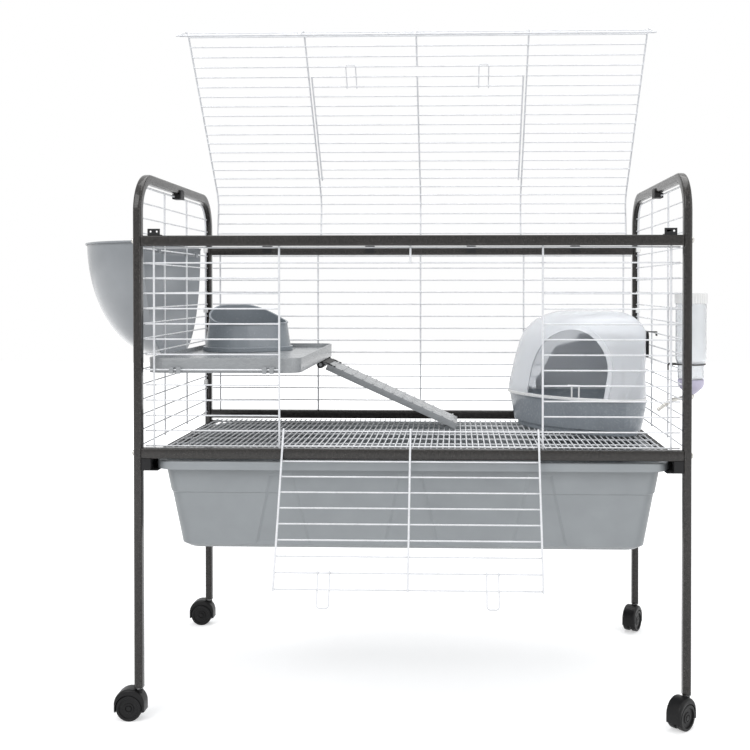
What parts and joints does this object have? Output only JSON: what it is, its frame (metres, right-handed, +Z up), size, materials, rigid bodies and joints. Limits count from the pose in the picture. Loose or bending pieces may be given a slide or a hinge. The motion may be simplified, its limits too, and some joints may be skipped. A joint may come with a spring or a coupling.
{
  "type": "rabbit cage on a wheeled stand",
  "caption": "Wire pet cage on a tube stand with swivel casters, a hinged wire lid and front door, a slide-out litter tray, shelf, ramp, corner house, hay rack and water bottle.",
  "frame": {"origin": "on the floor, midway between the legs of the stand", "axes": "+Z up, +X along the cage to the right as seen from the front, +Y from the front door to the rear"},
  "size_m": [1.3214, 0.6975, 1.4028],
  "materials": {
    "frame_coat": "hammered dark grey powder coat",
    "wire_white": "gloss white coated wire",
    "grey_plastic": "satin grey moulded plastic",
    "silver_plastic": "satin light grey moulded plastic",
    "frosted_plastic": "translucent frosted white",
    "clear_plastic": "translucent clear",
    "pale_plastic": "white moulded plastic",
    "violet_plastic": "pale violet moulded plastic",
    "black_plastic": "black moulded plastic",
    "black_nylon": "black nylon",
    "steel": "plain steel"
  },
  "bodies": {
    "cage": {"end_frame_left": "frame_coat", "end_frame_right": "frame_coat", "front_upper_rail": "frame_coat", "rear_upper_rail": "frame_coat", "front_lower_rail": "frame_coat", "rear_lower_rail": "frame_coat", "side_panel_left": "wire_white", "side_panel_right": "wire_white", "rear_panel": "wire_white", "front_panel": "wire_white", "bottle_holder": "wire_white", "floor_grid": "wire_white", "house_base": "grey_plastic", "shelf": "silver_plastic", "caster_washers": "pale_plastic", "tray_runner_left": "black_plastic", "tray_runner_right": "black_plastic", "caster_sockets": "black_plastic", "rail_plugs": "black_plastic", "panel_clips": "black_plastic", "lid_tabs": "black_plastic", "lid_hinge_saddles": "black_plastic", "house_strap": "black_plastic", "rail_bolts": "steel"},
    "lid": {"lid_panel": "wire_white"},
    "lid_door": {"lid_door": "wire_white"},
    "front_door": {"front_door": "wire_white"},
    "tray": {"tray": "grey_plastic"},
    "ramp": {"ramp": "silver_plastic"},
    "food_bowl": {"food_bowl": "grey_plastic"},
    "house_hood": {"house_hood": "frosted_plastic", "house_clip": "pale_plastic"},
    "hay_rack": {"hay_rack": "grey_plastic"},
    "bottle": {"bottle": "clear_plastic", "nozzle_cap": "violet_plastic", "spout": "steel", "spout_ball": "steel"},
    "bottle_lid": {"bottle_lid": "pale_plastic"},
    "lid_door_latch_left": {"lid_door_latch_left": "wire_white"},
    "front_door_latch_left": {"front_door_latch_left": "wire_white"},
    "lid_door_latch_right": {"lid_door_latch_right": "wire_white"},
    "front_door_latch_right": {"front_door_latch_right": "wire_white"},
    "caster_front_left": {"caster_front_left_fork": "black_nylon", "caster_front_left_axle": "steel"},
    "wheel_front_left_a": {"caster_front_left_wheel_a": "black_nylon"},
    "wheel_front_left_b": {"caster_front_left_wheel_b": "black_nylon"},
    "caster_front_right": {"caster_front_right_fork": "black_nylon", "caster_front_right_axle": "steel"},
    "wheel_front_right_a": {"caster_front_right_wheel_a": "black_nylon"},
    "wheel_front_right_b": {"caster_front_right_wheel_b": "black_nylon"},
    "caster_rear_left": {"caster_rear_left_fork": "black_nylon", "caster_rear_left_axle": "steel"},
    "wheel_rear_left_a": {"caster_rear_left_wheel_a": "black_nylon"},
    "wheel_rear_left_b": {"caster_rear_left_wheel_b": "black_nylon"},
    "caster_rear_right": {"caster_rear_right_fork": "black_nylon", "caster_rear_right_axle": "steel"},
    "wheel_rear_right_a": {"caster_rear_right_wheel_a": "black_nylon"},
    "wheel_rear_right_b": {"caster_rear_right_wheel_b": "black_nylon"}
  },
  "joints": [
    {"name": "lid_hinge", "type": "hinge", "parent": "cage", "child": "lid", "pos_m": [0, 0.28, 0.948], "axis": [1, 0, 0], "range_deg": [0, 50]},
    {"name": "lid_door_hinge", "type": "hinge", "parent": "lid", "child": "lid_door", "pos_m": [0, 0.24694, 1.10633], "axis": [-1, 0, 0], "range_deg": [0, 110]},
    {"name": "front_door_hinge", "type": "hinge", "parent": "cage", "child": "front_door", "pos_m": [0, -0.274, 0.56149], "axis": [-1, 0, 0], "range_deg": [0, 157.14]},
    {"name": "front_door_latch_left_turn", "type": "hinge", "parent": "front_door", "child": "front_door_latch_left", "pos_m": [-0.155, -0.37787, 0.3158], "axis": [1, 0, 0], "range_deg": [0, 80]},
    {"name": "lid_door_latch_left_turn", "type": "hinge", "parent": "lid_door", "child": "lid_door_latch_left", "pos_m": [-0.15, 0.08606, 1.29768], "axis": [-1, 0, 0], "range_deg": [0, 80]},
    {"name": "front_door_latch_right_turn", "type": "hinge", "parent": "front_door", "child": "front_door_latch_right", "pos_m": [0.155, -0.37787, 0.3158], "axis": [1, 0, 0], "range_deg": [0, 80]},
    {"name": "lid_door_latch_right_turn", "type": "hinge", "parent": "lid_door", "child": "lid_door_latch_right", "pos_m": [0.15, 0.08606, 1.29768], "axis": [-1, 0, 0], "range_deg": [0, 80]},
    {"name": "tray_slide", "type": "slide", "parent": "cage", "child": "tray", "axis": [0, 1, 0], "range_m": [0, 0.4]},
    {"name": "ramp_hinge", "type": "hinge", "parent": "cage", "child": "ramp", "pos_m": [-0.222, 0.15, 0.66304], "axis": [0, -1, 0], "range_deg": [0, 20]},
    {"name": "food_bowl_lift", "type": "slide", "parent": "cage", "child": "food_bowl", "axis": [0, 0, 1], "range_m": [0, 0.06]},
    {"name": "house_hood_lift", "type": "slide", "parent": "cage", "child": "house_hood", "axis": [0, 0, 1], "range_m": [0, 0.08]},
    {"name": "hay_rack_lift", "type": "slide", "parent": "cage", "child": "hay_rack", "axis": [0, 0, 1], "range_m": [0, 0.018]},
    {"name": "bottle_lift", "type": "slide", "parent": "cage", "child": "bottle", "axis": [0, 0, 1], "range_m": [0, 0.005]},
    {"name": "bottle_lid_turn", "type": "hinge", "parent": "bottle", "child": "bottle_lid", "pos_m": [0.56855, -0.135, 0.81289], "axis": [0, 0, 1], "continuous": true},
    {"name": "swivel_front_left", "type": "hinge", "parent": "cage", "child": "caster_front_left", "pos_m": [-0.528, -0.28, 0.064], "axis": [0, 0, 1], "continuous": true},
    {"name": "wheel_front_left_a_spin", "type": "hinge", "parent": "caster_front_left", "child": "wheel_front_left_a", "pos_m": [-0.545, -0.28, 0.025], "axis": [0, -1, 0], "continuous": true},
    {"name": "wheel_front_left_b_spin", "type": "hinge", "parent": "caster_front_left", "child": "wheel_front_left_b", "pos_m": [-0.545, -0.28, 0.025], "axis": [0, -1, 0], "continuous": true},
    {"name": "swivel_front_right", "type": "hinge", "parent": "cage", "child": "caster_front_right", "pos_m": [0.528, -0.28, 0.064], "axis": [0, 0, 1], "continuous": true},
    {"name": "wheel_front_right_a_spin", "type": "hinge", "parent": "caster_front_right", "child": "wheel_front_right_a", "pos_m": [0.51598, -0.29202, 0.025], "axis": [0.7071, -0.7071, 0], "continuous": true},
    {"name": "wheel_front_right_b_spin", "type": "hinge", "parent": "caster_front_right", "child": "wheel_front_right_b", "pos_m": [0.51598, -0.29202, 0.025], "axis": [0.7071, -0.7071, 0], "continuous": true},
    {"name": "swivel_rear_left", "type": "hinge", "parent": "cage", "child": "caster_rear_left", "pos_m": [-0.528, 0.28, 0.064], "axis": [0, 0, 1], "continuous": true},
    {"name": "wheel_rear_left_a_spin", "type": "hinge", "parent": "caster_rear_left", "child": "wheel_rear_left_a", "pos_m": [-0.545, 0.28, 0.025], "axis": [0, -1, 0], "continuous": true},
    {"name": "wheel_rear_left_b_spin", "type": "hinge", "parent": "caster_rear_left", "child": "wheel_rear_left_b", "pos_m": [-0.545, 0.28, 0.025], "axis": [0, -1, 0], "continuous": true},
    {"name": "swivel_rear_right", "type": "hinge", "parent": "cage", "child": "caster_rear_right", "pos_m": [0.528, 0.28, 0.064], "axis": [0, 0, 1], "continuous": true},
    {"name": "wheel_rear_right_a_spin", "type": "hinge", "parent": "caster_rear_right", "child": "wheel_rear_right_a", "pos_m": [0.5195, 0.26528, 0.025], "axis": [0.866, -0.5, 0], "continuous": true},
    {"name": "wheel_rear_right_b_spin", "type": "hinge", "parent": "caster_rear_right", "child": "wheel_rear_right_b", "pos_m": [0.5195, 0.26528, 0.025], "axis": [0.866, -0.5, 0], "continuous": true}
  ]
}
